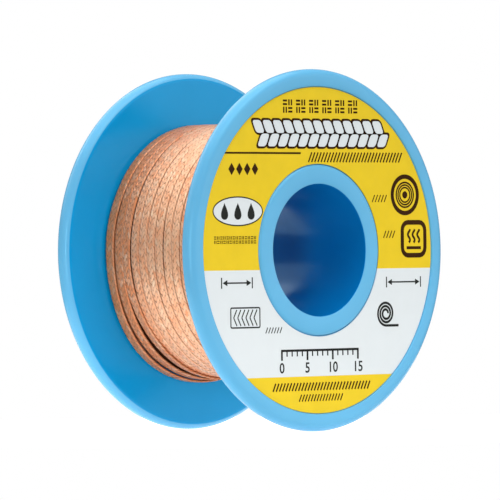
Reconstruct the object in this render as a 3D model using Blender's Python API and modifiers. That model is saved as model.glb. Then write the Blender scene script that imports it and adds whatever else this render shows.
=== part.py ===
"""A reel of desoldering braid: a moulded spool, the copper braid wound on it, and a ring label.

Metres, +Z up. The reel stands on the rims of its two flanges, with its axis along Y and its
labelled end towards -Y. The origin is on the ground, under the middle of the reel.
"""

from math import cos, floor, pi, radians, sin

import bpy

# Spool
FLANGE_DIAMETER = 0.0500
FLANGE_THICKNESS = 0.0023
FLANGE_EDGE_RADIUS = 0.0011
BARREL_LENGTH = 0.0222
BARREL_WALL = 0.0018
BORE_DIAMETER = 0.0182
BORE_CHAMFER = 0.0002
HUB_RING_WIDTH = 0.0027
HUB_RING_EDGE_RADIUS = 0.0005
RIM_WIDTH = 0.0024
RIM_LIP = 0.0001
RECESS_DEPTH = 0.00062

# Label, a ring of paper in the recess of one flange
LABEL_THICKNESS = 0.00012
LABEL_EDGE_CLEARANCE = 0.0001

# Braid, wound in level layers
BRAID_WIDTH = 0.00150
BRAID_THICKNESS = 0.00028
BRAID_EDGE_ROLL = 0.00020
TURN_SPACING = 0.00012
TURN_GROOVE_DEPTH = 0.00017
LAYERS = 24

# The gap that pieces lying against each other keep
SEAT_GAP = 0.0003

# Faces round a turned piece, and round a quarter of an edge rounding
SPOOL_SEGMENTS = 64
WINDING_SEGMENTS = 48
RIM_STEPS = 4
HUB_RING_STEPS = 3
SMOOTH_BELOW_DEG = 35
MERGE_DISTANCE = 0.00001

flange_radius = FLANGE_DIAMETER / 2
bore_radius = BORE_DIAMETER / 2
barrel_radius = bore_radius + BARREL_WALL
hub_radius = bore_radius + HUB_RING_WIDTH
recess_radius = flange_radius - RIM_WIDTH
half_barrel = BARREL_LENGTH / 2
half_width = half_barrel + FLANGE_THICKNESS
recess_floor = half_width - RECESS_DEPTH

# The reel rests on a face of its rims, so the face's middle touches the ground.
axis_height = flange_radius * cos(pi / SPOOL_SEGMENTS)


def clear_scene():
    for old in list(bpy.data.objects):
        bpy.data.objects.remove(old)


def make_material(name, colour, roughness, metallic=0.0):
    material = bpy.data.materials.new(name)
    material.use_nodes = True
    shader = material.node_tree.nodes["Principled BSDF"]
    shader.inputs["Base Color"].default_value = (*colour, 1.0)
    shader.inputs["Roughness"].default_value = roughness
    shader.inputs["Metallic"].default_value = metallic
    return material


def arc(centre, radius, start_deg, end_deg, steps):
    """Points (radius, height) of an arc about centre, both ends included."""
    turned_by = [start_deg + (end_deg - start_deg) * i / steps for i in range(steps + 1)]
    return [
        (centre[0] + radius * cos(radians(a)), centre[1] + radius * sin(radians(a)))
        for a in turned_by
    ]


def turned(name, outline, segments, material, axis, collection):
    """A closed outline of (radius, height) points, turned about the reel's axis.

    The outline runs outwards over the top, down the outer side, and back up the bore.
    """
    count = len(outline)
    section = bpy.data.meshes.new(name + "_section")
    section.from_pydata(
        [(radius, 0.0, height) for radius, height in outline],
        [(i, (i + 1) % count) for i in range(count)],
        [],
    )
    guide = bpy.data.objects.new(name + "_section", section)
    collection.objects.link(guide)
    screw = guide.modifiers.new("Turn", "SCREW")
    screw.axis = "Z"
    screw.angle = 2 * pi
    screw.steps = segments
    screw.render_steps = segments
    screw.use_merge_vertices = True
    screw.merge_threshold = MERGE_DISTANCE

    graph = bpy.context.evaluated_depsgraph_get()
    mesh = bpy.data.meshes.new_from_object(guide.evaluated_get(graph))
    bpy.data.objects.remove(guide)
    mesh.name = name
    mesh.shade_smooth()
    mesh.set_sharp_from_angle(angle=radians(SMOOTH_BELOW_DEG))
    mesh.materials.clear()
    mesh.materials.append(material)

    piece = bpy.data.objects.new(name, mesh)
    piece.parent = axis
    piece.rotation_euler = (0.0, 0.0, pi / segments)
    collection.objects.link(piece)
    return piece


def mirrored_outline(top_half):
    """The outline whose upper half is given from the bore to the barrel, and the same below."""
    return top_half + [(radius, -height) for radius, height in reversed(top_half)]


def spool_outline():
    hub_edge_centre = (hub_radius - HUB_RING_EDGE_RADIUS, half_width - HUB_RING_EDGE_RADIUS)
    rim_edge_radius = flange_radius - FLANGE_EDGE_RADIUS
    outer_rim_centre = (rim_edge_radius, half_width - FLANGE_EDGE_RADIUS)
    inner_rim_centre = (rim_edge_radius, half_barrel + FLANGE_EDGE_RADIUS)
    top_half = [
        (bore_radius, half_width - BORE_CHAMFER),
        (bore_radius + BORE_CHAMFER, half_width),
    ]
    top_half += arc(hub_edge_centre, HUB_RING_EDGE_RADIUS, 90, 0, HUB_RING_STEPS)
    top_half += [
        (hub_radius, recess_floor),
        (recess_radius, recess_floor),
        (recess_radius, half_width - RIM_LIP),
        (recess_radius + RIM_LIP, half_width),
    ]
    top_half += arc(outer_rim_centre, FLANGE_EDGE_RADIUS, 90, 0, RIM_STEPS)
    top_half += arc(inner_rim_centre, FLANGE_EDGE_RADIUS, 0, -90, RIM_STEPS)
    top_half += [(barrel_radius, half_barrel)]
    return mirrored_outline(top_half)


def label_outline():
    inner = hub_radius + LABEL_EDGE_CLEARANCE
    outer = recess_radius - LABEL_EDGE_CLEARANCE
    back = recess_floor + SEAT_GAP
    front = back + LABEL_THICKNESS
    return [(inner, front), (outer, front), (outer, back), (inner, back)]


def winding_outline():
    """The braid on the barrel. Its last layer shows one crown and one groove for each turn.

    The layers below run from flange to flange. The last one starts at the labelled end and
    stops where the next turn no longer fits.
    """
    inner = barrel_radius + SEAT_GAP
    crown = inner + LAYERS * BRAID_THICKNESS
    shoulder = crown - BRAID_THICKNESS
    groove = crown - TURN_GROOVE_DEPTH
    end = half_barrel - SEAT_GAP
    pitch = BRAID_WIDTH + TURN_SPACING
    turns = floor(2 * end / pitch)

    outline = [(inner, end)]
    for turn in range(turns):
        top = end - turn * pitch
        outline += [
            (groove, top),
            (crown, top - BRAID_EDGE_ROLL),
            (crown, top - pitch + BRAID_EDGE_ROLL),
        ]
    last = end - turns * pitch
    outline += [(groove, last), (shoulder, last), (shoulder, -end), (inner, -end)]
    return outline


def main():
    clear_scene()
    collection = bpy.data.collections.new("desoldering_braid_reel")
    bpy.context.scene.collection.children.link(collection)

    axis = bpy.data.objects.new("reel_axis", None)
    axis.location = (0.0, 0.0, axis_height)
    axis.rotation_euler = (pi / 2, 0.0, 0.0)
    axis.empty_display_size = flange_radius
    collection.objects.link(axis)

    plastic = make_material("spool_plastic", (0.05, 0.36, 0.72), 0.30)
    copper = make_material("braid_copper", (0.72, 0.40, 0.26), 0.42, metallic=0.85)
    paper = make_material("label_paper", (0.80, 0.60, 0.05), 0.45)

    turned("spool", spool_outline(), SPOOL_SEGMENTS, plastic, axis, collection)
    turned("braid_winding", winding_outline(), WINDING_SEGMENTS, copper, axis, collection)
    turned("label", label_outline(), SPOOL_SEGMENTS, paper, axis, collection)


main()
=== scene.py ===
"""The looks of a reel of desoldering braid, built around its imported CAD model.

Metres, +Z up. The reel's axis runs along Y and its labelled end faces -Y. Sizes that the CAD model
has are read from the boxes of its nodes, and the other sizes are named here in millimetres.
"""

from math import cos, pi, radians, sin

import bmesh
import bpy
import numpy as np
from mathutils import Matrix, Vector


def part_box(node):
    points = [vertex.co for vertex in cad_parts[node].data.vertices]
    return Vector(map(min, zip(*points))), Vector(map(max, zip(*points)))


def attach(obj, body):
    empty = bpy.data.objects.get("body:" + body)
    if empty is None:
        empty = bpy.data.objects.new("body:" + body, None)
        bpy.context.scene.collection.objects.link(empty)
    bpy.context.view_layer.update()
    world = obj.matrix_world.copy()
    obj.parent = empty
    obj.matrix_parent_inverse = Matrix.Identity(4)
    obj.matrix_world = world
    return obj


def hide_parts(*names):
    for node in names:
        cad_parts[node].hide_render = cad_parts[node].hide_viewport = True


MM = 0.001

# Camera: where the photograph was taken from, and where the reel's middle shows in it
CAMERA_AZIMUTH_DEG = -45.1
CAMERA_DISTANCE = 836.0 * MM
CAMERA_ROLL_DEG = 0.613
CAMERA_LENS_MM = 432.0
CAMERA_SENSOR_MM = 36.0
MIDDLE_RIGHT_OF_CENTRE = 0.159 * MM
MIDDLE_BELOW_CENTRE = 0.121 * MM
CAMERA_CLIP_START = 0.05
CAMERA_CLIP_END = 20.0

# Spool
FLANGE_THICKNESS = 2.3 * MM
RIM_EDGE_RADIUS = 1.1 * MM
BORE_RADIUS = 9.1 * MM
BORE_EDGE_RADIUS = 0.2 * MM
BARREL_RADIUS = 10.9 * MM
HUB_RING_RADIUS = 11.8 * MM
HUB_RING_EDGE_RADIUS = 0.5 * MM
RECESS_CORNER_RADIUS = 0.1 * MM
RECESS_SIDE_GAP = 0.1 * MM
RIM_LIP_RADIUS = 0.12 * MM
SPOOL_SEGMENTS = 288

# How open the plastic lies, from 0 in the bore to 1 on the rims, which sets its colour as painted
# shade and light, and how far the bore's and the sheltered faces' shares of it reach past their edges
BETWEEN_FLANGES = 0.5
BORE_MARGIN = 0.05 * MM
BARREL_SIDE_MARGIN = 0.1 * MM
RIM_MARGIN = 0.6 * MM

# Braid: its section, and how it is wound
BRAID_WIDTH = 1.52 * MM
BRAID_THICKNESS = 0.28 * MM
WINDING_RADIUS = 17.76 * MM
CROSSOVER_SHARE = 0.15
PIECES_END_AT_TURN = (3, 6, 9, 11)

# Weave: bundles of wires show as floats, in columns along the braid. A float is half a row long and
# half a column wide each way from its middle, and its ends are sheared by a quarter
WEAVE_COLUMNS_ON_FACE = 3
WEAVE_ROW = 0.86 * MM
WEAVE_RELIEF = 0.036 * MM
FLOAT_REACH = 0.5
FLOAT_SHEAR = 0.25
FLOAT_LINES_ALONG = (-1.0, -0.85, -0.6, -0.3, 0.0, 0.3, 0.6, 0.85, 1.0)
FLOAT_LINES_ACROSS = (-1.0, -0.72, -0.25, 0.25, 0.72, 1.0)
EDGE_DIP = 0.4
CORNER_DIP = 1.4
WIRES_IN_A_BUNDLE = 4

# How far single floats stray along and across the braid, and by what shares in height and tone
STRAY_ALONG = 0.04 * MM
STRAY_ACROSS = 0.015 * MM
STRAY_HEIGHT = 0.20
STRAY_TONE = 0.15

# Tone of the copper: the usual one, and how much redder the turns are near the flanges, which
# starts at the first distance from the reel's middle and is full at the second. The redder tone there
# is painted, against the blue light that the flanges reflect onto the copper
USUAL_TONE = 0.66
RUDDY_TONE = 0.6
RUDDY_TURNS = (2.0 * MM, 9.0 * MM)

# Crest, a painted shade: 1 on a float's top, LOWEST_CREST at its ends, and less by EDGE_SHADE on the
# braid's edges; the copper darkens towards its crevice colour as the crest falls
LOWEST_CREST = 0.62
CREST_GAIN = 2.4
EDGE_SHADE = 0.45
SHELTERED_EDGE = (-0.06 * MM, 0.12 * MM)

# The closed ribbon below the floats, in darker copper that paints the shade in the weave's pits and
# gaps: steps in a turn, and lines across its face and on each edge
RIBBON_STEPS = 180
RIBBON_DEPTH = 0.02 * MM
RIBBON_FACE_LINES = 5
RIBBON_EDGE_LINES = 4
RIBBON_EDGE_FROM = 0.35

# The turns wander a little: sideways and outward sizes, and how fast each goes along the braid
WANDER_COUNTS = range(2, 9)
WANDER_SIDEWAYS = 0.012 * MM
WANDER_OUTWARD = 0.006 * MM
WANDER_SIDEWAYS_RATE = 2.39
WANDER_OUTWARD_RATE = 3.17

# The braid comes up from the layer below, beside its own first turn, and ends in cut wires
RISE_START = -0.13
RISE_END = 0.08
RISE_HEIGHT = 0.34 * MM
CUT_WIRES = 22
CUT_WIRE_RADIUS = 0.05 * MM
CUT_WIRE_LENGTH = 1.5 * MM
CUT_WIRE_SIDES = 6
CUT_WIRE_RINGS = 5
CUT_WIRE_ROOT = -0.5
CUT_WIRE_TIP = 0.97
CUT_WIRE_TONE = 0.5

# How the cut wires differ: shorter at the braid's edges, uneven, fanned, astray, and in two levels
SHORTER_AT_EDGES = 0.25
UNEVEN_LENGTH = 0.12
FAN = 0.22
STRAY_SIDEWAYS = 0.06 * MM
STRAY_UPWARD = 0.05 * MM
WIRE_LEVELS = (0.25, 0.75)

# The turns of the layer below that show beside the last layer, and how far down that layer lies
BURIED_TURN_MIDDLES = (-10.15, 10.15)
BURIED_DEPTH = 0.34 * MM

# The drum that stands for the layers further down, with a shallow crown for each turn, in near-black
# copper that paints the shade in the gaps between turns
CORE_DEPTH = 0.48 * MM
CORE_END_GAP = 0.02 * MM
CORE_CROWN = 0.09 * MM
CORE_CROWN_LINES = 7
CORE_CROWN_SHARE = 0.999
CORE_SEGMENTS = 180

# The middle of each turn on the side that the photograph shows, from the labelled end
TURN_MIDDLES = (-9.86, -8.03, -6.25, -4.55, -2.94, -1.33, 0.33, 1.90, 3.50, 5.04, 6.79, 8.22, 10.06)

# Where stretches of a turn start and end, as shares of the turn. That side is from 0.25 to 0.75,
# top to bottom. In its middle the first turns lie further from the rest, and so leave a gap
GAP_AFTER_TURN = 6
GAP_WIDTH = 0.11 * MM
GAP_STARTS = (0.445, 0.485)
GAP_ENDS = (0.515, 0.545)

# Higher up on that side the last turn lies closer to the turn before it
HIGH_SIDE_STARTS = (0.15, 0.30)
HIGH_SIDE_ENDS = (0.41, 0.48)
HIGH_SIDE_SHIFT = (-0.20,)

# Lower down on that side the last turns ride up, lie apart and lean, counted from the last one,
# and the other turns lie lower
LOW_SIDE_STARTS = (0.51, 0.66)
LOW_SIDE_ENDS = (0.80, 1.0)
LOW_SIDE_RISE = (0.64, 0.26, 0.12)
LOW_SIDE_SHIFT = (0.02, 0.16, -0.62)
LOW_SIDE_LEAN = (0.0, 0.0, -0.16)
LOW_SIDE_SINK = -0.12

# Label: the two lines where its colours change, above the reel's axis
YELLOW_ABOVE = -2.64 * MM
YELLOW_BELOW = -17.34 * MM
LABEL_SEGMENTS = 288
CUT_TOLERANCE = 0.0001 * MM

# Print: each ink lies one thickness above the one below, and its plates reach a little into that
INK_THICKNESS = 0.012 * MM
PLATE_DEPTH = 1.3 * INK_THICKNESS
MERGE_DISTANCE = 0.00001 * MM
NUMBER_CURVE_STEPS = 4
NUMBER_BOLDNESS = 0.03 * MM

# Plait: a strand's width and corners as shares of the pitch, and its height and distance from the
# middle line as shares of the plait's height
STRAND_ACROSS = 0.98
STRAND_CORNER = 0.26
STRAND_UP = 0.50
STRAND_OFF_MIDDLE = 0.225
STRAND_LEAN = 0.45

# Colours, as linear light
# Painted shade and light on the plastic: darkest in the bore, deep between the flanges, palest on the
# rims
BORE_BLUE_PAINTED_SHADE = (0.001, 0.170, 0.470)
SHELTERED_BLUE_PAINTED_SHADE = (0.002, 0.300, 0.640)
OPEN_BLUE_PAINTED_LIGHT = (0.130, 0.450, 0.720)
BLUE_GLOSS = (0.32, 0.78, 1.0)
RUDDY_COPPER = (0.89, 0.29, 0.10)
PALE_COPPER = (0.99, 0.64, 0.40)
TARNISHED_COPPER = (0.73, 0.26, 0.10)
# Painted shade in the weave's crevices and on the braid's edges
COPPER_CREVICE_PAINTED_SHADE = (0.24, 0.095, 0.050)
# Painted shade: darker copper for the ribbon in the weave's pits and gaps, near-black for the core
RIBBON_COPPER_PAINTED_SHADE = ((0.46, 0.18, 0.075), (0.58, 0.24, 0.10))
CORE_COPPER_PAINTED_SHADE = ((0.06, 0.020, 0.010), (0.13, 0.045, 0.022))
LABEL_YELLOW = (0.83, 0.585, 0.006)
LABEL_WHITE = (0.725, 0.770, 0.785)
DARK_INK = (0.022, 0.024, 0.022)
BROWN_INK = (0.044, 0.014, 0.001)

# Stage: the floor glows, but only by a share of that in front of the reel. It dims between two
# distances from the reel's middle, in half widths of the reel
FLOOR_RADIUS = 0.07
FLOOR_SEGMENTS = 96
FLOOR_GLOW = 1.1
FLOOR_GLOW_IN_FRONT = 0.4
FLOOR_DIMS_FROM = 0.5
FLOOR_DIMS_TO = 1.5

# Light: an even surrounding and soft panels, each with its place, width and height in metres
SURROUND_STRENGTH = 0.26
PANELS = (
    ("top", (0.0, -0.05, 0.80), 1.0, 1.0, 6.2),
    ("front_right", (0.70, -0.80, 0.25), 0.6, 0.6, 4.6),
    ("front_top", (0.05, -0.60, 0.75), 0.6, 0.5, 10.5),
    ("front_left", (-0.76, -0.52, 0.05), 0.16, 0.45, 34.0),
    ("left", (-0.85, -0.10, 0.10), 0.5, 0.4, 2.0),
    ("back_left_top", (-0.45, 0.65, 0.55), 0.8, 0.6, 4.0),
    ("back_top", (0.05, 0.65, 0.58), 0.7, 0.5, 5.0),
)

RANDOM_SEED = 7

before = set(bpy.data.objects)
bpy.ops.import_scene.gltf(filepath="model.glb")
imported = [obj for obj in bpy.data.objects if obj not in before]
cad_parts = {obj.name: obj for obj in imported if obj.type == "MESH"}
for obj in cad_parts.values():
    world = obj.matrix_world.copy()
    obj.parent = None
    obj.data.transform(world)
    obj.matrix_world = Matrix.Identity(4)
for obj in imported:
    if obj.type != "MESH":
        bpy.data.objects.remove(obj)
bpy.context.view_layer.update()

spool_low, spool_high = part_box("spool")
label_low, label_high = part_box("label")
axis_z = (spool_low.z + spool_high.z) / 2
flange_radius = (spool_high.x - spool_low.x) / 2
half_width = (spool_high.y - spool_low.y) / 2
half_barrel = half_width - FLANGE_THICKNESS
label_radius = (label_high.x - label_low.x) / 2
label_front = -label_low.y
label_back = -label_high.y
recess_radius = label_radius + RECESS_SIDE_GAP


# Small helpers


def arc(centre, radius, start_deg, end_deg, steps):
    """Points of an arc about centre, both ends included."""
    angles = np.radians(np.linspace(start_deg, end_deg, steps + 1))
    return [(centre[0] + radius * cos(a), centre[1] + radius * sin(a)) for a in angles]


def smooth_step(x, start, end):
    """0 before start, 1 after end, and a smooth rise between them."""
    t = np.clip((x - start) / (end - start), 0.0, 1.0)
    return t * t * (3 - 2 * t)


def add_object(name, mesh, materials):
    """A piece of the reel, on its one body."""
    piece = bpy.data.objects.new(name, mesh)
    bpy.context.scene.collection.objects.link(piece)
    for material in materials:
        mesh.materials.append(material)
    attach(piece, "root")
    return piece


def mesh_of_quads(name, points, quads):
    """A mesh from an array of points and an array of four-sided faces."""
    mesh = bpy.data.meshes.new(name)
    mesh.vertices.add(len(points))
    mesh.vertices.foreach_set("co", np.asarray(points, np.float32).ravel())
    mesh.loops.add(quads.size)
    mesh.loops.foreach_set("vertex_index", quads.astype(np.int32).ravel())
    mesh.polygons.add(len(quads))
    mesh.polygons.foreach_set("loop_start", np.arange(0, quads.size, 4, dtype=np.int32))
    mesh.update(calc_edges=True)
    return mesh


def ring_quads(rings, around, closed_rings):
    """Quads between rings of points, each with the same number of points around."""
    last = rings if closed_rings else rings - 1
    i, j = np.meshgrid(np.arange(last), np.arange(around), indexing="ij")
    after, beside = (i + 1) % rings, (j + 1) % around
    corners = (i * around + j, after * around + j, after * around + beside, i * around + beside)
    return np.stack(corners, -1).reshape(-1, 4)


def turned_mesh(name, outline, segments, sharp_deg=40):
    """A closed outline of (radius, y) points, turned about the reel's axis."""
    outline = np.array(outline)
    angles = np.arange(segments) * 2 * pi / segments
    radius, along = outline[:, 0][:, None], outline[:, 1][:, None]
    points = np.stack(
        [radius * np.cos(angles), along + 0 * angles, axis_z + radius * np.sin(angles)], -1
    ).reshape(-1, 3)
    mesh = mesh_of_quads(name, points, ring_quads(len(outline), segments, True))
    shape = bmesh.new()
    shape.from_mesh(mesh)
    bmesh.ops.recalc_face_normals(shape, faces=shape.faces)
    shape.to_mesh(mesh)
    shape.free()
    mesh.shade_smooth()
    mesh.set_sharp_from_angle(angle=radians(sharp_deg))
    return mesh


# Materials


class Nodes:
    """A material's node tree, with short ways to add nodes and links."""

    def __init__(self, name):
        self.material = bpy.data.materials.new(name)
        self.material.use_nodes = True
        self.tree = self.material.node_tree
        self.shader = self.tree.nodes["Principled BSDF"]

    def add(self, kind, **settings):
        node = self.tree.nodes.new("ShaderNode" + kind)
        for key, value in settings.items():
            setattr(node, key, value)
        return node

    def link(self, source, target):
        self.tree.links.new(source, target)

    def set(self, **values):
        """Sets the shader's own sockets; an underscore stands for a space."""
        for key, value in values.items():
            self.shader.inputs[key.replace("_", " ")].default_value = value

    def noise(self, scale, detail=3.0, roughness=0.5):
        noise = self.add("TexNoise")
        noise.inputs["Scale"].default_value = scale
        noise.inputs["Detail"].default_value = detail
        noise.inputs["Roughness"].default_value = roughness
        self.link(self.add("TexCoord").outputs["Object"], noise.inputs["Vector"])
        return noise.outputs["Fac"]

    def spread(self, value, low=0.0, high=1.0, from_low=0.3, from_high=0.7):
        """Maps a value, such as a noise, onto the range from low to high."""
        node = self.add("MapRange")
        node.inputs["From Min"].default_value = from_low
        node.inputs["From Max"].default_value = from_high
        node.inputs["To Min"].default_value = low
        node.inputs["To Max"].default_value = high
        self.link(value, node.inputs["Value"])
        return node.outputs["Result"]

    def mix(self, factor, first, second, blend="MIX"):
        """Mixes two colours, each a tuple or another node's output."""
        node = self.add("Mix", data_type="RGBA", blend_type=blend)
        if isinstance(factor, (int, float)):
            node.inputs[0].default_value = factor
        else:
            self.link(factor, node.inputs[0])
        for socket, colour in ((node.inputs[6], first), (node.inputs[7], second)):
            if isinstance(colour, tuple):
                socket.default_value = (*colour, 1.0)
            else:
                self.link(colour, socket)
        return node.outputs[2]

    def bump(self, height, distance, strength, under=None):
        """A relief, laid over another one where that is given."""
        node = self.add("Bump")
        node.inputs["Strength"].default_value = strength
        node.inputs["Distance"].default_value = distance
        self.link(height, node.inputs["Height"])
        if under is not None:
            self.link(under, node.inputs["Normal"])
        return node.outputs["Normal"]


def plastic_material():
    """Light blue moulded plastic, with painted shade and light: deep in hue where it is sheltered,
    paler where it is open.
    """
    n = Nodes("spool_plastic")
    # Painted shade in the bore and between the flanges, painted light on the open rims
    painted_shade_and_light = n.add("Attribute", attribute_name="painted_shade_and_light")
    colour = n.add("ValToRGB")
    ramp = colour.color_ramp.elements
    ramp[0].color = (*BORE_BLUE_PAINTED_SHADE, 1.0)
    ramp[1].color = (*OPEN_BLUE_PAINTED_LIGHT, 1.0)
    ramp.new(BETWEEN_FLANGES).color = (*SHELTERED_BLUE_PAINTED_SHADE, 1.0)
    n.link(painted_shade_and_light.outputs["Fac"], colour.inputs["Fac"])
    uneven = n.mix(n.spread(n.noise(180.0)), (0.97, 0.96, 0.96), (1.0, 1.0, 1.0))
    n.link(n.mix(1.0, colour.outputs["Color"], uneven, "MULTIPLY"), n.shader.inputs["Base Color"])
    roughness = n.spread(n.noise(900.0, detail=4.0), low=0.17, high=0.25)
    n.link(roughness, n.shader.inputs["Roughness"])
    waves = n.bump(n.noise(260.0, detail=2.0), distance=0.004 * MM, strength=0.15)
    grain = n.bump(n.noise(6000.0, detail=2.0), distance=0.001 * MM, strength=0.15, under=waves)
    n.link(grain, n.shader.inputs["Normal"])
    n.set(IOR=1.5, Specular_IOR_Level=0.4, Specular_Tint=(*BLUE_GLOSS, 1.0))
    n.set(Subsurface_Weight=0.12, Subsurface_Scale=1.0 * MM, Subsurface_Radius=(0.3, 0.8, 1.0))
    return n.material


def copper_material():
    """Copper wire under a film of flux. Each bundle has its own tone, and U runs across its wires."""
    n = Nodes("braid_copper")
    tone = n.add("Attribute", attribute_name="tone")
    crest = n.add("Attribute", attribute_name="crest")
    bare = n.mix(tone.outputs["Fac"], RUDDY_COPPER, PALE_COPPER)
    patches = n.noise(140.0, detail=4.0, roughness=0.6)
    tarnish = n.spread(patches, low=0.0, high=0.30, from_low=0.45, from_high=0.75)
    face = n.mix(tarnish, bare, TARNISHED_COPPER)
    # Painted shade: the crest darkens the copper towards its crevice colour
    n.link(n.mix(crest.outputs["Fac"], COPPER_CREVICE_PAINTED_SHADE, face), n.shader.inputs["Base Color"])
    n.link(n.spread(n.noise(700.0), low=0.38, high=0.48), n.shader.inputs["Roughness"])
    across_wires = n.add("Tangent", direction_type="UV_MAP", uv_map="wires")
    n.link(across_wires.outputs["Tangent"], n.shader.inputs["Tangent"])
    uv = n.add("UVMap", uv_map="wires")
    parts = n.add("SeparateXYZ")
    n.link(uv.outputs["UV"], parts.inputs[0])
    phase = n.add("Math", operation="MULTIPLY")
    phase.inputs[1].default_value = 2 * pi * WIRES_IN_A_BUNDLE
    n.link(parts.outputs["X"], phase.inputs[0])
    wave = n.add("Math", operation="COSINE")
    n.link(phase.outputs[0], wave.inputs[0])
    wires = n.bump(wave.outputs[0], distance=0.008 * MM, strength=0.5)
    n.link(wires, n.shader.inputs["Normal"])
    n.set(Metallic=0.6, Anisotropic=0.6, Specular_IOR_Level=0.5)
    n.set(Coat_Weight=0.22, Coat_Roughness=0.32)
    return n.material


def shaded_copper_material(name, dark, light):
    """Copper deep in the weave or under the last layer, dull with flux and darkened as painted shade.
    """
    n = Nodes(name)
    n.link(n.mix(n.spread(n.noise(2500.0)), dark, light), n.shader.inputs["Base Color"])
    wires = n.bump(n.noise(3000.0, detail=2.0), distance=0.05 * MM, strength=0.8)
    n.link(wires, n.shader.inputs["Normal"])
    n.set(Roughness=0.7, Specular_IOR_Level=0.1)
    return n.material


def printed_material(name, colour, shade, gloss):
    """Coated paper or the ink on it: a fine tooth, and a tone that falls by shade in places."""
    n = Nodes(name)
    darker = tuple(c * shade for c in colour)
    tone = n.spread(n.noise(400.0, detail=4.0))
    n.link(n.mix(tone, darker, colour), n.shader.inputs["Base Color"])
    n.link(n.spread(n.noise(1500.0), low=0.45, high=0.55), n.shader.inputs["Roughness"])
    tooth = n.bump(n.noise(5000.0, detail=4.0, roughness=0.7), distance=0.004 * MM, strength=0.5)
    n.link(tooth, n.shader.inputs["Normal"])
    n.set(Specular_IOR_Level=gloss)
    return n.material


plastic = plastic_material()
copper = copper_material()
shaded_copper = shaded_copper_material("braid_copper_shaded", *RIBBON_COPPER_PAINTED_SHADE)
deep_shade_copper = shaded_copper_material("braid_copper_deep_shade", *CORE_COPPER_PAINTED_SHADE)
yellow_ink = printed_material("label_yellow", LABEL_YELLOW, shade=0.94, gloss=0.3)
white_paper = printed_material("label_white", LABEL_WHITE, shade=0.98, gloss=0.3)
dark_ink = printed_material("label_dark_ink", DARK_INK, shade=0.7, gloss=0.08)
brown_ink = printed_material("label_brown_ink", BROWN_INK, shade=0.7, gloss=0.08)


# Spool


def spool_outline():
    """The section of the spool's upper half, as points at a radius and a place along the axis."""
    hub_edge = (HUB_RING_RADIUS - HUB_RING_EDGE_RADIUS, half_width - HUB_RING_EDGE_RADIUS)
    bore_edge = (BORE_RADIUS + BORE_EDGE_RADIUS, half_width - BORE_EDGE_RADIUS)
    floor_y = label_back + RECESS_CORNER_RADIUS
    lip = (recess_radius + RIM_LIP_RADIUS, half_width - RIM_LIP_RADIUS)
    rim_r = flange_radius - RIM_EDGE_RADIUS
    inner_corner = (HUB_RING_RADIUS + RECESS_CORNER_RADIUS, floor_y)
    outer_corner = (recess_radius - RECESS_CORNER_RADIUS, floor_y)
    side = arc(bore_edge, BORE_EDGE_RADIUS, 180, 90, steps=5)
    side += arc(hub_edge, HUB_RING_EDGE_RADIUS, 90, 0, steps=10)
    side += arc(inner_corner, RECESS_CORNER_RADIUS, 180, 270, steps=3)
    side += arc(outer_corner, RECESS_CORNER_RADIUS, 270, 360, steps=3)
    side += arc(lip, RIM_LIP_RADIUS, 180, 90, steps=4)
    side += arc((rim_r, half_width - RIM_EDGE_RADIUS), RIM_EDGE_RADIUS, 90, 0, steps=14)
    side += arc((rim_r, half_barrel + RIM_EDGE_RADIUS), RIM_EDGE_RADIUS, 0, -90, steps=14)
    side += [(BARREL_RADIUS, half_barrel)]
    return side + [(radius, -y) for radius, y in reversed(side)]


def make_spool():
    """The spool, turned as one piece."""
    mesh = turned_mesh("spool_moulding", spool_outline(), SPOOL_SEGMENTS)
    places = np.zeros(len(mesh.vertices) * 3, np.float32)
    mesh.vertices.foreach_get("co", places)
    x, y, z = places.reshape(-1, 3).T
    radius = np.hypot(x, z - axis_z)
    # Painted shade and light: 0 in the bore, BETWEEN_FLANGES on the sheltered faces, 1 on the open
    # rims
    in_bore = radius < BORE_RADIUS + BORE_MARGIN
    between_flanges = np.abs(y) < half_barrel + BARREL_SIDE_MARGIN
    between_flanges &= radius < flange_radius - RIM_MARGIN
    painted_shade_and_light = np.select([in_bore, between_flanges], [0.0, BETWEEN_FLANGES], 1.0).astype(np.float32)
    mesh.attributes.new("painted_shade_and_light", "FLOAT", "POINT").data.foreach_set("value", painted_shade_and_light)
    spool = add_object("spool_moulding", mesh, [plastic])
    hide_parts("spool")


# Braid

edge_radius = BRAID_THICKNESS / 2
half_flat = BRAID_WIDTH / 2 - edge_radius
column_width = 2 * (half_flat + edge_radius * pi / 2) / WEAVE_COLUMNS_ON_FACE
turn_length = 2 * pi * WINDING_RADIUS
turns = len(TURN_MIDDLES)
turn_y = np.array(TURN_MIDDLES) * MM


def from_last_turn(values, others=0.0):
    """One value for each turn, from a list that starts at the last turn."""
    spread = np.full(turns, others)
    spread[turns - len(values):] = values[::-1]
    return spread


high_side_shift = from_last_turn(HIGH_SIDE_SHIFT) * MM
low_side_rise = from_last_turn(LOW_SIDE_RISE, LOW_SIDE_SINK) * MM
low_side_shift = from_last_turn(LOW_SIDE_SHIFT) * MM
low_side_lean = from_last_turn(LOW_SIDE_LEAN)

wander = np.random.default_rng(RANDOM_SEED)
wander_waves = [
    (count, *wander.normal(0, 1, 2), *wander.uniform(0, 2 * pi, 2)) for count in WANDER_COUNTS
]


def on_stretch(part, starts, ends):
    """1 along a stretch of a turn, 0 off it, and smooth in between."""
    return smooth_step(part, *starts) * (1 - smooth_step(part, *ends))


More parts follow.
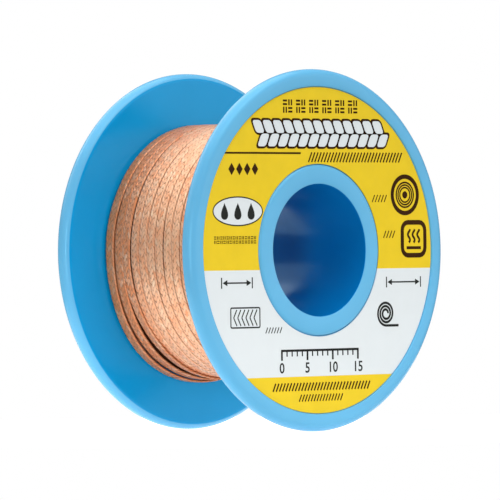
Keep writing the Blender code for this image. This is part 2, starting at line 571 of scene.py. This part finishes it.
def turn_path(s):
    """The braid's middle line at s turns from its start: y, outer radius and lean."""
    turn = np.clip(np.floor(s).astype(int), 0, turns - 1)
    part = s - turn
    before, after = np.maximum(turn - 1, 0), np.minimum(turn + 1, turns - 1)
    from_before = 1 - smooth_step(part, -CROSSOVER_SHARE, CROSSOVER_SHARE)
    to_after = smooth_step(part, 1 - CROSSOVER_SHARE, 1 + CROSSOVER_SHARE)
    y = turn_y[turn]
    y = y + (turn_y[before] - turn_y[turn]) * from_before
    y = y + (turn_y[after] - turn_y[turn]) * to_after
    in_gap = on_stretch(part, GAP_STARTS, GAP_ENDS)
    y = y + GAP_WIDTH * (1 - in_gap) * (turn < GAP_AFTER_TURN)
    y = y + high_side_shift[turn] * on_stretch(part, HIGH_SIDE_STARTS, HIGH_SIDE_ENDS)
    low = on_stretch(part, LOW_SIDE_STARTS, LOW_SIDE_ENDS)
    y = y + low_side_shift[turn] * low
    radius = WINDING_RADIUS + low_side_rise[turn] * low
    radius = radius - RISE_HEIGHT * (1 - smooth_step(s, RISE_START / 2, RISE_END))
    for count, y_size, r_size, y_phase, r_phase in wander_waves:
        sideways = np.sin(count * s * WANDER_SIDEWAYS_RATE + y_phase)
        outward = np.sin(count * s * WANDER_OUTWARD_RATE + r_phase)
        y = y + WANDER_SIDEWAYS * y_size * sideways
        radius = radius + WANDER_OUTWARD * r_size * outward
    return y, radius, low_side_lean[turn] * low


def buried_path(middle):
    """A turn of the layer below, its middle at a given y."""
    def path(s):
        return middle + 0 * s, WINDING_RADIUS - BURIED_DEPTH + 0 * s, 0.0
    return path


def braid_section(q):
    """Across the braid's outline, q from the middle of its outer face: offsets and normal."""
    side = np.sign(q)
    beyond = np.clip((np.abs(q) - half_flat) / edge_radius, 0.0, pi)
    across = side * (np.clip(np.abs(q), 0.0, half_flat) + edge_radius * np.sin(beyond))
    return across, -edge_radius * (1 - np.cos(beyond)), side * np.sin(beyond), np.cos(beyond)


def place_on_path(path, s, q, lift):
    """Points on the wound braid: s turns along, q across, lift above its outline."""
    y, radius, lean = path(s)
    across, outward, normal_y, normal_r = braid_section(q)
    r = radius - WEAVE_RELIEF + outward + lift * normal_r + lean * across
    y = y + across + lift * normal_y
    angle = 2 * pi * s
    return np.stack([r * np.cos(angle), y, axis_z + r * np.sin(angle)], -1)


def float_grid(along, across):
    """A grid over one bundle's float, given its lines along and across, and its faces."""
    u, v = np.meshgrid(along, across, indexing="ij")
    i, j = np.meshgrid(np.arange(len(along) - 1), np.arange(len(across) - 1), indexing="ij")
    corner = i * len(across) + j
    quads = np.stack([corner, corner + len(across), corner + len(across) + 1, corner + 1], -1)
    return u.ravel(), v.ravel(), quads.reshape(-1, 4)


# Floats on the braid's edges have fewer lines: every second one along, and the two outer ones across
face_float = float_grid(FLOAT_LINES_ALONG, FLOAT_LINES_ACROSS)
edge_float = float_grid(FLOAT_LINES_ALONG[::2], (FLOAT_LINES_ACROSS[0], FLOAT_LINES_ACROSS[-1]))


def weave_column(path, column, first, last, random):
    """The floats of one column of the weave, from s = first to s = last."""
    u, v, quads = face_float if abs(column) <= WEAVE_COLUMNS_ON_FACE // 2 else edge_float
    slant = 1 if column % 2 == 0 else -1
    rows = np.arange(int(first * turn_length / WEAVE_ROW), int(last * turn_length / WEAVE_ROW))
    count = len(rows)
    astray_along, astray_height, astray_tone, astray_across = random.normal(0, 1, (4, count, 1))
    middle = (rows[:, None] + FLOAT_SHEAR * slant) * WEAVE_ROW + STRAY_ALONG * astray_along
    s = (middle + WEAVE_ROW * (FLOAT_REACH * u + FLOAT_SHEAR * v)) / turn_length
    q = column * column_width + STRAY_ACROSS * astray_across
    q = q + slant * column_width * (FLOAT_REACH * u - FLOAT_SHEAR * v)
    dome = 1 - EDGE_DIP * (np.abs(u) ** 3 + np.abs(v) ** 3) - CORNER_DIP * (u * v) ** 2
    points = place_on_path(path, s, q, WEAVE_RELIEF * (1 + STRAY_HEIGHT * astray_height) * dome)
    faces = quads if slant > 0 else quads[:, ::-1]
    faces = faces + (np.arange(count) * len(u))[:, None, None]
    # Painted: redder near the flanges, against the blue light they reflect onto the copper
    ruddy = smooth_step(np.abs(path(s)[0]), *RUDDY_TURNS)
    tone = np.clip(USUAL_TONE + STRAY_TONE * astray_tone - RUDDY_TONE * ruddy, 0, 1)
    # Painted shade at the floats' ends and on the braid's sheltered edges
    crest = np.clip(LOWEST_CREST + (1 - LOWEST_CREST) * CREST_GAIN * dome, LOWEST_CREST, 1)
    crest = crest * (1 - EDGE_SHADE * smooth_step(np.abs(q) - half_flat, *SHELTERED_EDGE))
    wires = np.stack([(v + 1) / 2, (u + 1) / 2], -1)
    return (
        points.reshape(-1, 3),
        faces.reshape(-1, 4),
        np.stack([tone, crest], -1).reshape(-1, 2),
        np.tile(wires, (count, 1)),
    )


def ribbon(path, first, last):
    """The closed strip that carries the floats, slightly below them."""
    edge = half_flat + edge_radius * np.linspace(RIBBON_EDGE_FROM, 1.0, RIBBON_EDGE_LINES) * pi
    q = np.concatenate([np.linspace(-half_flat, half_flat, RIBBON_FACE_LINES), edge, -edge[::-1]])
    steps = int(round((last - first) * RIBBON_STEPS)) + 1
    s = np.linspace(first, last, steps)[:, None] + 0 * q
    points = place_on_path(path, s, np.broadcast_to(q, s.shape), -RIBBON_DEPTH + 0 * s)
    quads = ring_quads(steps, len(q), False)[:, ::-1]
    return points.reshape(-1, 3), quads, np.zeros((s.size, 2)), np.zeros((s.size, 2))


def cut_wires(path, last, random):
    """The wires that stand out, slightly fanned, where the braid was cut."""
    around = np.arange(CUT_WIRE_SIDES) * 2 * pi / CUT_WIRE_SIDES
    along = np.linspace(CUT_WIRE_ROOT, 1.0, CUT_WIRE_RINGS)[:, None]
    beyond = np.clip(along, 0, 1)
    girth = np.full(along.shape, CUT_WIRE_RADIUS)
    girth[-1] = 0.0
    wires = []
    for k in range(CUT_WIRES):
        share = 2 * (k + 0.5) / CUT_WIRES - 1
        spread, rise, reach = random.normal(0, 1, 3)
        length = CUT_WIRE_LENGTH * (1 - SHORTER_AT_EDGES * share ** 2 + UNEVEN_LENGTH * reach)
        s = last + length * np.minimum(along, CUT_WIRE_TIP) / turn_length + 0 * around
        q = share * half_flat * (1 + FAN * beyond ** 2) + STRAY_SIDEWAYS * spread * beyond
        lift = -BRAID_THICKNESS * WIRE_LEVELS[k % 2] + STRAY_UPWARD * rise * beyond
        wire = place_on_path(path, s, q + girth * np.cos(around), lift + girth * np.sin(around))
        wires.append(wire.reshape(-1, 3))
    quads = ring_quads(CUT_WIRE_RINGS, CUT_WIRE_SIDES, False)
    faces = np.concatenate([quads + k * len(wire) for k, wire in enumerate(wires)])
    points = np.concatenate(wires)
    looks = np.tile((CUT_WIRE_TONE, 1.0), (len(points), 1))
    return points, faces, looks, np.zeros((len(points), 2))


def make_braid_piece(name, path, first, last, random, cut_end=False):
    """One stretch of the wound braid, from s = first to s = last."""
    outer = WEAVE_COLUMNS_ON_FACE // 2 + 1
    parts = [weave_column(path, c, first, last, random) for c in range(-outer, outer + 1)]
    if cut_end:
        parts.append(cut_wires(path, last, random))
    float_faces = sum(len(p[1]) for p in parts)
    parts.append(ribbon(path, first, last))
    starts = np.cumsum([0] + [len(p[0]) for p in parts[:-1]])
    mesh = mesh_of_quads(
        name,
        np.concatenate([p[0] for p in parts]),
        np.concatenate([p[1] + start for p, start in zip(parts, starts)]),
    )
    looks = np.concatenate([p[2] for p in parts]).astype(np.float32)
    for k, look in enumerate(("tone", "crest")):
        mesh.attributes.new(look, "FLOAT", "POINT").data.foreach_set("value", looks[:, k].copy())
    wires = np.concatenate([p[3] for p in parts]).astype(np.float32)
    corner_points = np.zeros(len(mesh.loops), np.int32)
    mesh.loops.foreach_get("vertex_index", corner_points)
    mesh.uv_layers.new(name="wires").data.foreach_set("uv", wires[corner_points].ravel())
    on_ribbon = np.arange(len(mesh.polygons)) >= float_faces
    mesh.polygons.foreach_set("material_index", on_ribbon.astype(np.int32))
    mesh.shade_smooth()
    return add_object(name, mesh, [copper, shaded_copper])


def core_outline():
    """The layers below the last one: a plain drum whose turns show as shallow crowns."""
    outer = WINDING_RADIUS - CORE_DEPTH
    end = half_barrel - CORE_END_GAP
    pitch = 2 * end / (turns + 1)
    outline = [(BARREL_RADIUS, end)]
    for k in range(turns + 1):
        middle = end - (k + 0.5) * pitch
        for t in np.linspace(-1, 1, CORE_CROWN_LINES):
            y = middle - t * pitch / 2 * CORE_CROWN_SHARE
            outline.append((outer - CORE_CROWN * abs(t) ** 4, y))
    return outline + [(BARREL_RADIUS, -end)]


def make_winding():
    """The last layer in pieces of a few turns, two turns of the layer below it, and the core."""
    random = np.random.default_rng(RANDOM_SEED)
    cuts = [RISE_START, *PIECES_END_AT_TURN, turns]
    for k, (first, last) in enumerate(zip(cuts[:-1], cuts[1:])):
        make_braid_piece(f"braid_turns_{k + 1}", turn_path, first, last, random, last == turns)
    for k, middle in enumerate(BURIED_TURN_MIDDLES):
        make_braid_piece(f"braid_buried_turn_{k + 1}", buried_path(middle * MM), 0, 1, random)
    core_mesh = turned_mesh("braid_core", core_outline(), CORE_SEGMENTS)
    # The core's near-black copper is painted shade
    core = add_object("braid_core", core_mesh, [deep_shade_copper])
    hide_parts("braid_winding")


# Label


def label_outline():
    """The section of the paper ring above the axis."""
    inner, outer = HUB_RING_RADIUS + RECESS_SIDE_GAP, label_radius
    back, front = -label_back, -label_front
    return [(inner, back), (inner, front), (outer, front), (outer, back)]


def make_label():
    """A ring of paper, cut along the two lines where its colours change."""
    mesh = turned_mesh("label_paper", label_outline(), LABEL_SEGMENTS)
    shape = bmesh.new()
    shape.from_mesh(mesh)
    for height in (YELLOW_ABOVE, YELLOW_BELOW):
        parts = shape.verts[:] + shape.edges[:] + shape.faces[:]
        bmesh.ops.bisect_plane(
            shape, geom=parts, plane_co=(0, 0, axis_z + height), plane_no=(0, 0, 1), dist=CUT_TOLERANCE
        )
    for face in shape.faces:
        height = face.calc_center_median().z - axis_z
        face.material_index = 0 if height > YELLOW_ABOVE or height < YELLOW_BELOW else 1
    shape.to_mesh(mesh)
    shape.free()
    label = add_object("label_paper", mesh, [yellow_ink, white_paper])
    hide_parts("label")


# Print on the label. Its places and sizes are millimetres, right of the axis and above it


class Print:
    """Flat shapes in one ink: thin closed plates, laid on the paper or on the ink below."""

    def __init__(self, level):
        self.front = -label_front - level * INK_THICKNESS
        self.back = self.front + PLATE_DEPTH
        self.shape = bmesh.new()

    def corner(self, point, y):
        return self.shape.verts.new((point[0] * MM, y, axis_z + point[1] * MM))

    def fill(self, outline):
        """A plate inside a closed outline."""
        front = [self.corner(point, self.front) for point in outline]
        back = [self.corner(point, self.back) for point in outline]
        self.shape.faces.new(front)
        self.shape.faces.new(back[::-1])
        for k in range(-1, len(outline) - 1):
            self.shape.faces.new((front[k + 1], front[k], back[k], back[k + 1]))

    def strip(self, left, right, closed):
        """A plate between two lines of as many points each."""
        lines = [[self.corner(point, y) for point in line] for line, y in (
            (left, self.front), (right, self.front), (right, self.back), (left, self.back)
        )]
        for k in range(-1 if closed else 0, len(left) - 1):
            for one, other in zip(lines, lines[1:] + lines[:1]):
                self.shape.faces.new((one[k], one[k + 1], other[k + 1], other[k]))
        if not closed:
            self.shape.faces.new([line[0] for line in lines])
            self.shape.faces.new([line[-1] for line in lines][::-1])

    def stroke(self, points, width, closed=False):
        """A line of one width along some points."""
        points = np.array(points, float)
        if closed:
            ahead = np.roll(points, -1, 0) - np.roll(points, 1, 0)
        else:
            ahead = np.gradient(points, axis=0)
        ahead /= np.linalg.norm(ahead, axis=1)[:, None]
        offset = np.stack([-ahead[:, 1], ahead[:, 0]], -1) * width / 2
        self.strip(points + offset, points - offset, closed)

    def line(self, x0, z0, x1, z1, width):
        self.stroke([(x0, z0), (x1, z1)], width)

    def text(self, words, x, z, size):
        """Plain characters, centred on x and standing on z."""
        curve = bpy.data.curves.new("numbers", "FONT")
        curve.body, curve.size, curve.align_x = words, size * MM, "CENTER"
        curve.resolution_u = NUMBER_CURVE_STEPS
        curve.extrude = PLATE_DEPTH / 2
        curve.offset = NUMBER_BOLDNESS
        words_object = bpy.data.objects.new("numbers", curve)
        mesh = bpy.data.meshes.new_from_object(words_object)
        middle = (self.front + self.back) / 2
        place = Matrix.Translation((x * MM, middle, axis_z + z * MM))
        mesh.transform(place @ Matrix.Rotation(pi / 2, 4, "X"))
        self.shape.from_mesh(mesh)
        bpy.data.objects.remove(words_object)
        bpy.data.curves.remove(curve)
        bpy.data.meshes.remove(mesh)

    def finish(self, name, material):
        mesh = bpy.data.meshes.new(name)
        bmesh.ops.remove_doubles(self.shape, verts=self.shape.verts, dist=MERGE_DISTANCE)
        bmesh.ops.recalc_face_normals(self.shape, faces=self.shape.faces)
        self.shape.to_mesh(mesh)
        self.shape.free()
        add_object(name, mesh, [material])


def oval(x, z, half_across, half_up, steps=48):
    """The outline of an oval."""
    angles = np.arange(steps) * 2 * pi / steps
    return [(x + half_across * cos(a), z + half_up * sin(a)) for a in angles]


def rounded_box(x, z, across, up, corner, shear=0.0):
    """A box with round corners, its top pushed sideways by shear times its height."""
    right, top = across / 2 - corner, up / 2 - corner
    points = []
    for start, side, level in ((0, 1, 1), (90, -1, 1), (180, -1, -1), (270, 1, -1)):
        points += arc((side * right, level * top), corner, start, start + 90, steps=4)
    return [(x + px + shear * pz, z + pz) for px, pz in points]


def woven_tile(ink, x, z, size, width):
    """A square of basket weave: strokes across in two of its quarters, upright in the others."""
    reach, apart = size * 0.20, size * 0.12
    for side, level in ((-1, 1), (1, 1), (1, -1), (-1, -1)):
        middle_x, middle_z = x + side * size / 4, z + level * size / 4
        for shift in (-apart, apart):
            if side != level:
                line_z = middle_z + shift
                ink.line(middle_x - reach, line_z, middle_x + reach, line_z, width)
            else:
                line_x = middle_x + shift
                ink.line(line_x, middle_z - reach, line_x, middle_z + reach, width)


def tile_row(ink, x0, x1, z, size, count, width):
    """A row of woven tiles from x0 to x1."""
    for x in np.linspace(x0 + size / 2, x1 - size / 2, count):
        woven_tile(ink, x, z, size, width)


def twist_row(ink, x0, x1, z, up, pitch, width):
    """A row of slanted strokes, like the strands of a twisted cord."""
    slant = up / 4
    for x in np.arange(x0 + slant, x1 - slant, pitch):
        ink.line(x - slant, z - up / 2, x + slant, z + up / 2, width)


def diamond_row(ink, x0, z, count, pitch, half_across, half_up):
    """A row of diamonds, the first one's middle at x0."""
    for x in x0 + pitch * np.arange(count):
        corners = ((-half_across, 0), (0, -half_up), (half_across, 0), (0, half_up))
        ink.fill([(x + across, z + up) for across, up in corners])


def plait(fill, edge, x0, x1, z, up, count, outline):
    """A plait: two rows of leaning strands, half a strand apart, each with a dark edge."""
    pitch = (x1 - x0) / (count + 0.5)
    across, tall, corner = pitch * STRAND_ACROSS, up * STRAND_UP, pitch * STRAND_CORNER
    for k in range(count):
        for level, shift in ((1, 0.5), (-1, 1.0)):
            place = (x0 + pitch * (k + shift), z + level * up * STRAND_OFF_MIDDLE)
            for ink, grow, round_off in ((edge, outline, outline / 2), (fill, -outline, -outline / 4)):
                size = (across + grow, tall + grow, corner + round_off)
                ink.fill(rounded_box(*place, *size, -level * STRAND_LEAN))


def span_arrow(ink, x0, x1, z, width):
    """A line with an arrowhead at each end, between two end marks."""
    mark, gap, head, half_head = 0.75, 0.2, 0.9, 0.42
    for x, ahead in ((x0, 1), (x1, -1)):
        ink.line(x, z - mark, x, z + mark, width)
        tip, foot = x + ahead * gap, x + ahead * (gap + head)
        ink.fill([(foot, z - half_head * ahead), (foot, z + half_head * ahead), (tip, z)])
    ink.line(x0 + gap + head, z, x1 - gap - head, z, width)


def drop(x, z, size):
    """The outline of a drop, its point up."""
    angles = np.arange(24) * 2 * pi / 24
    fullness, sharpness = 0.42, 1.5
    sides = [size * fullness * sin(a) * sin(a / 2) ** sharpness for a in angles]
    return [(x + side, z + size / 2 * cos(a)) for side, a in zip(sides, angles)]


def reel_mark(ink, x, z, radius):
    """A reel seen from its end: flange, a few turns and hub."""
    flange, hub = (1.0, 0.62), 0.2
    braid = ((0.68, 0.24), (0.54, 0.22), (0.40, 0.22))
    for share, width in (flange, *braid):
        ink.stroke(oval(x, z, radius * share, radius * share), width, closed=True)
    ink.fill(oval(x, z, radius * hub, radius * hub, steps=24))


def coil_mark(ink, x, z, radius, width):
    """A flat spiral with its end led off to the right."""
    rounds, steps, innermost, lead = 2.75, 80, radius * 0.25, radius * 1.5
    angles = np.linspace(0, 2 * pi * rounds, steps)
    radii = np.linspace(innermost, radius, steps)
    points = [(x + r * cos(a), z + r * sin(a)) for a, r in zip(angles, radii)]
    points += [(x + away, z - radius) for away in np.linspace(0.2, lead, 6)]
    ink.stroke(points, width)


def heat_mark(ink, x, z, up):
    """Three wavy strokes that rise from a bar."""
    half_bar, bar_width = 1.45, 0.42
    stroke_width, apart, swing, wave_count = 0.36, 0.95, 0.22, 1.25
    rise = np.linspace(0, 1, 17)
    waves = swing * np.sin(2 * pi * wave_count * rise)
    heights = z + up * (rise * 0.72 - 0.22)
    for side in (-1, 0, 1):
        ink.stroke(np.stack([x + apart * side + waves, heights], -1), stroke_width)
    ink.line(x - half_bar, z - up / 2, x + half_bar, z - up / 2, bar_width)


def ruler(ink, x0, z, length):
    """A millimetre scale with plain numbers at each fifth mark."""
    overhang, number_drop, number_size = 0.15, 3.05, 2.0
    ink.line(x0 - overhang, z, x0 + length + overhang, z, width=0.32)
    for k in range(length + 1):
        numbered = k % 5 == 0
        tall, width = (1.35, 0.34) if numbered else (0.8, 0.24)
        ink.line(x0 + k, z, x0 + k, z - tall, width)
        if numbered:
            ink.text(str(k), x0 + k, z - number_drop, number_size)


def braid_strip(ink, x, z, across, up, count, pitch):
    """A framed strip of braid, filled with arrow-shaped strokes."""
    frame_width, corner, inset = 0.20, 0.2, 0.55
    stroke_width, stroke_across, stroke_up = 0.19, 0.6, 1.1
    ink.stroke(rounded_box(x, z, across, up, corner), frame_width, closed=True)
    for k in range(count):
        left = x - across / 2 + inset + pitch * k
        for level in (1, -1):
            ink.line(left, z, left + stroke_across, z + stroke_up * level, stroke_width)


def print_top(brown, edge, plaited):
    """Above the bore, on yellow."""
    tile_row(brown, x0=-6.9, x1=8.0, z=19.8, size=2.05, count=6, width=0.27)
    plait(plaited, edge, x0=-12.6, x1=13.9, z=16.05, up=4.1, count=13, outline=0.30)
    brown.line(x0=-18.3, z0=13.35, x1=-3.4, z1=13.35, width=0.26)
    twist_row(brown, x0=-1.9, x1=17.2, z=12.8, up=1.35, pitch=0.62, width=0.24)
    diamond_row(brown, x0=-16.85, z=11.15, count=4, pitch=1.5, half_across=0.62, half_up=0.85)


def print_sides(brown, white, over_white):
    """Left and right of the bore, on yellow."""
    badge = oval(x=-15.75, z=5.4, half_across=4.75, half_up=1.95)
    white.fill(badge)
    over_white.stroke(badge, width=0.17, closed=True)
    for x in (-18.3, -15.75, -13.2):
        over_white.fill(drop(x, z=5.4, size=2.3))
    tile_row(brown, x0=-20.4, x1=-12.2, z=1.5, size=1.15, count=7, width=0.13)

    reel_mark(brown, x=17.3, z=7.6, radius=2.55)
    twist_row(brown, x0=10.7, x1=13.9, z=7.1, up=1.0, pitch=0.6, width=0.17)
    heat_frame = rounded_box(x=19.0, z=1.45, across=4.6, up=4.6, corner=1.1)
    brown.stroke(heat_frame, width=0.66, closed=True)
    heat_mark(brown, x=19.0, z=1.5, up=2.6)
    twist_row(brown, x0=12.9, x1=15.6, z=2.1, up=1.0, pitch=0.6, width=0.17)


def print_white_band(dark):
    """Below the bore, on white."""
    span_arrow(dark, x0=-19.0, x1=-13.1, z=-4.35, width=0.20)
    braid_strip(dark, x=-14.5, z=-9.1, across=5.6, up=2.7, count=6, pitch=0.78)
    twist_row(dark, x0=-10.6, x1=-7.2, z=-10.9, up=0.8, pitch=0.55, width=0.16)
    span_arrow(dark, x0=13.4, x1=20.3, z=-4.55, width=0.20)
    coil_mark(dark, x=13.2, z=-8.9, radius=1.7, width=0.34)
    ruler(dark, x0=-7.5, z=-13.75, length=15)


def print_foot(brown):
    """At the bottom, on yellow."""
    twist_row(brown, x0=-9.3, x1=10.4, z=-18.75, up=1.1, pitch=0.62, width=0.25)
    twist_row(brown, x0=-4.2, x1=4.8, z=-20.3, up=0.95, pitch=0.58, width=0.21)


def make_print():
    """All the print, one piece for each ink and level."""
    brown, dark, white, edge = Print(1), Print(1), Print(1), Print(1)
    plaited, over_white = Print(2), Print(2)
    print_top(brown, edge, plaited)
    print_sides(brown, white, over_white)
    print_white_band(dark)
    print_foot(brown)
    brown.finish("label_print_brown", brown_ink)
    edge.finish("label_print_plait_edge", brown_ink)
    plaited.finish("label_print_plait", white_paper)
    white.finish("label_print_white", white_paper)
    dark.finish("label_print_dark", dark_ink)
    over_white.finish("label_print_on_white", dark_ink)


# Stage, light and camera


def make_floor():
    """A white disc under the reel, dimmer in front of it."""
    mesh = bpy.data.meshes.new("floor")
    shape = bmesh.new()
    bmesh.ops.create_circle(shape, cap_ends=True, radius=FLOOR_RADIUS, segments=FLOOR_SEGMENTS)
    shape.to_mesh(mesh)
    shape.free()
    floor = bpy.data.objects.new("floor", mesh)
    bpy.context.scene.collection.objects.link(floor)
    n = Nodes("floor")
    n.set(Base_Color=(0.5, 0.5, 0.5, 1.0), Roughness=0.8, Specular_IOR_Level=0.2)
    n.set(Emission_Color=(1.0, 1.0, 1.0, 1.0))
    place = n.add("SeparateXYZ")
    n.link(n.add("TexCoord").outputs["Object"], place.inputs[0])
    glow = n.spread(
        place.outputs["Y"],
        low=FLOOR_GLOW_IN_FRONT * FLOOR_GLOW,
        high=FLOOR_GLOW,
        from_low=-half_width * FLOOR_DIMS_TO,
        from_high=-half_width * FLOOR_DIMS_FROM,
    )
    n.link(glow, n.shader.inputs["Emission Strength"])
    mesh.materials.append(n.material)


def area_light(name, place, width, height, strength):
    """A soft panel, aimed at the reel's middle."""
    data = bpy.data.lights.new(name, "AREA")
    data.shape = "RECTANGLE"
    data.size, data.size_y = width, height
    data.energy = strength * width * height
    light = bpy.data.objects.new(name, data)
    light.location = place
    aim = Vector((0, 0, axis_z)) - Vector(place)
    light.rotation_euler = aim.to_track_quat("-Z", "Y").to_euler()
    bpy.context.scene.collection.objects.link(light)


def make_light():
    """A dim, even surrounding that looks white itself, and soft panels."""
    world = bpy.data.worlds.new("studio")
    bpy.context.scene.world = world
    world.use_nodes = True
    tree = world.node_tree
    background = tree.nodes["Background"]
    background.inputs["Color"].default_value = (1, 1, 1, 1)
    rays = tree.nodes.new("ShaderNodeLightPath")
    dimmer = tree.nodes.new("ShaderNodeMapRange")
    dimmer.inputs["To Min"].default_value = SURROUND_STRENGTH
    dimmer.inputs["To Max"].default_value = 1.0
    tree.links.new(rays.outputs["Is Camera Ray"], dimmer.inputs["Value"])
    tree.links.new(dimmer.outputs["Result"], background.inputs["Strength"])
    for name, place, width, height, strength in PANELS:
        area_light(name, place, width, height, strength)


def make_camera():
    """The photograph's view: level, and rolled by a little."""
    azimuth = radians(CAMERA_AZIMUTH_DEG)
    back = Vector((sin(azimuth), -cos(azimuth), 0))
    right = Vector((cos(azimuth), sin(azimuth), 0))
    data = bpy.data.cameras.new("camera")
    data.lens = CAMERA_LENS_MM
    data.sensor_width = CAMERA_SENSOR_MM
    data.clip_start, data.clip_end = CAMERA_CLIP_START, CAMERA_CLIP_END
    camera = bpy.data.objects.new("camera", data)
    up = Vector((0, 0, 1))
    place = Vector((0, 0, axis_z)) + back * CAMERA_DISTANCE
    place += up * MIDDLE_BELOW_CENTRE - right * MIDDLE_RIGHT_OF_CENTRE
    axes = Matrix((right, up, back)).transposed().to_4x4()
    roll = Matrix.Rotation(-radians(CAMERA_ROLL_DEG), 4, "Z")
    camera.matrix_world = Matrix.Translation(place) @ axes @ roll
    bpy.context.scene.collection.objects.link(camera)
    bpy.context.scene.camera = camera
    bpy.context.scene.view_settings.view_transform = "Standard"


make_camera()
make_spool()
make_winding()
make_label()
make_print()
make_floor()
make_light()
